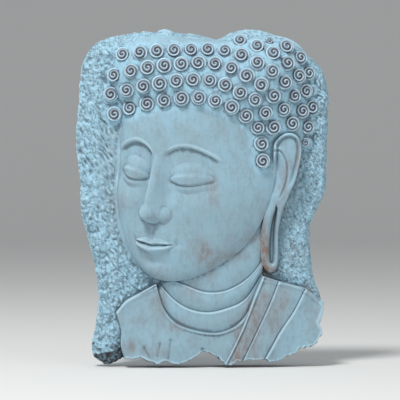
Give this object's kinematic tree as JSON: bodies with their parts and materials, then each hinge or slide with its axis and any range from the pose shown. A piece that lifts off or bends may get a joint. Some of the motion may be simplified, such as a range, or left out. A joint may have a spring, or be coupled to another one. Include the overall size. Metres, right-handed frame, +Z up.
{
  "type": "relief wall plaque",
  "caption": "Cast wall plaque in high relief: a calm head in three-quarter view with rows of spiral curls and a long ear, ringed neck and draped robe, on a rough-edged slab.",
  "frame": {"origin": "on the flat back, at the middle of the outline, where the plaque meets the wall", "axes": "+Z up, +Y into the wall, +X to the viewer's right; the relief faces -Y"},
  "size_m": [0.2725, 0.0562, 0.3601],
  "materials": {
    "cast_stone": "matt cast stone under a pale turquoise wash, with brown-grey showing on the curls, in the grooves and in weathered streaks"
  },
  "bodies": {
    "root": {"plaque": "cast_stone"}
  },
  "joints": []
}
